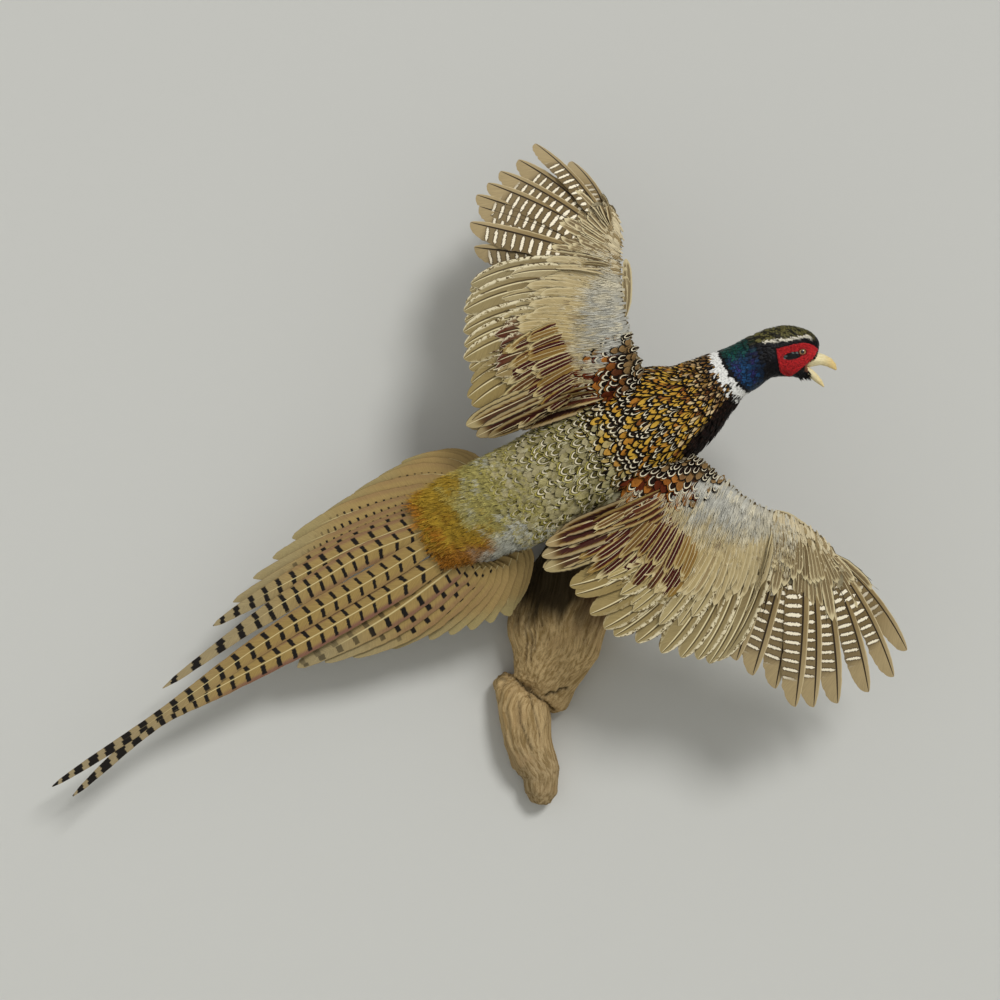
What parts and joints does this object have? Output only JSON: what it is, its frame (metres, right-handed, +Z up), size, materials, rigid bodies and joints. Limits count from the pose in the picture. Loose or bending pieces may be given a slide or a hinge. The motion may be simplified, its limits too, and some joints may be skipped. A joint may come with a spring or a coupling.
{
  "type": "taxidermy pheasant on driftwood wall mount",
  "caption": "Life-size mounted cock pheasant in banking flight, wings and long tail spread, on a driftwood mount with a flat back for a wall.",
  "frame": {"origin": "middle of the flat back of the driftwood, on the wall plane", "axes": "+Y into the wall, +Z up, +X towards the side the bird flies to"},
  "size_m": [0.8707, 0.2175, 0.6793],
  "materials": {
    "mantle_feathers": "soft plumage, orange gold with black edges",
    "rump_feathers": "loose hair-like plumage, olive grey",
    "tail_covert_feathers": "hair-like plumage, rust and olive gold",
    "neck_feathers": "short plumage with a green-violet sheen, white collar",
    "head_skin": "bare red face skin in small grains under a dark plumed crown",
    "covert_feathers": "layered plumage, blue grey to olive buff",
    "flight_feathers": "stiff vanes, brown with cream bars",
    "tertial_feathers": "stiff vanes, maroon with buff edges",
    "tail_feathers": "long stiff vanes, olive buff with black bars",
    "leg_scales": "dry horny scales",
    "bill_horn": "ivory horn, satin",
    "tongue_skin": "dry matt skin",
    "eye_glass": "solid glass eye, polished, painted behind",
    "driftwood": "bare weathered wood, open grain",
    "steel": "plain zinc-plated"
  },
  "bodies": {
    "root": {"tail_base": "tail_covert_feathers", "rump": "rump_feathers", "trunk": "mantle_feathers", "neck": "neck_feathers", "head": "head_skin", "bill_upper": "bill_horn", "bill_lower": "bill_horn", "tongue": "tongue_skin", "eye_right": "eye_glass", "eye_left": "eye_glass", "tail_middle": "tail_feathers", "tail_left": "tail_feathers", "tail_right": "tail_feathers", "driftwood_stump": "driftwood", "driftwood_limb": "driftwood", "hanger_plate": "steel", "support_rod": "steel", "wing_arm_left": "covert_feathers", "wing_hand_left": "covert_feathers", "secondaries_left": "flight_feathers", "primaries_left": "flight_feathers", "tertials_left": "tertial_feathers", "alula_left": "flight_feathers", "leg_left": "leg_scales", "foot_left": "leg_scales", "wing_arm_right": "covert_feathers", "wing_hand_right": "covert_feathers", "secondaries_right": "flight_feathers", "primaries_right": "flight_feathers", "tertials_right": "tertial_feathers", "alula_right": "flight_feathers", "leg_right": "leg_scales", "foot_right": "leg_scales"}
  },
  "joints": []
}
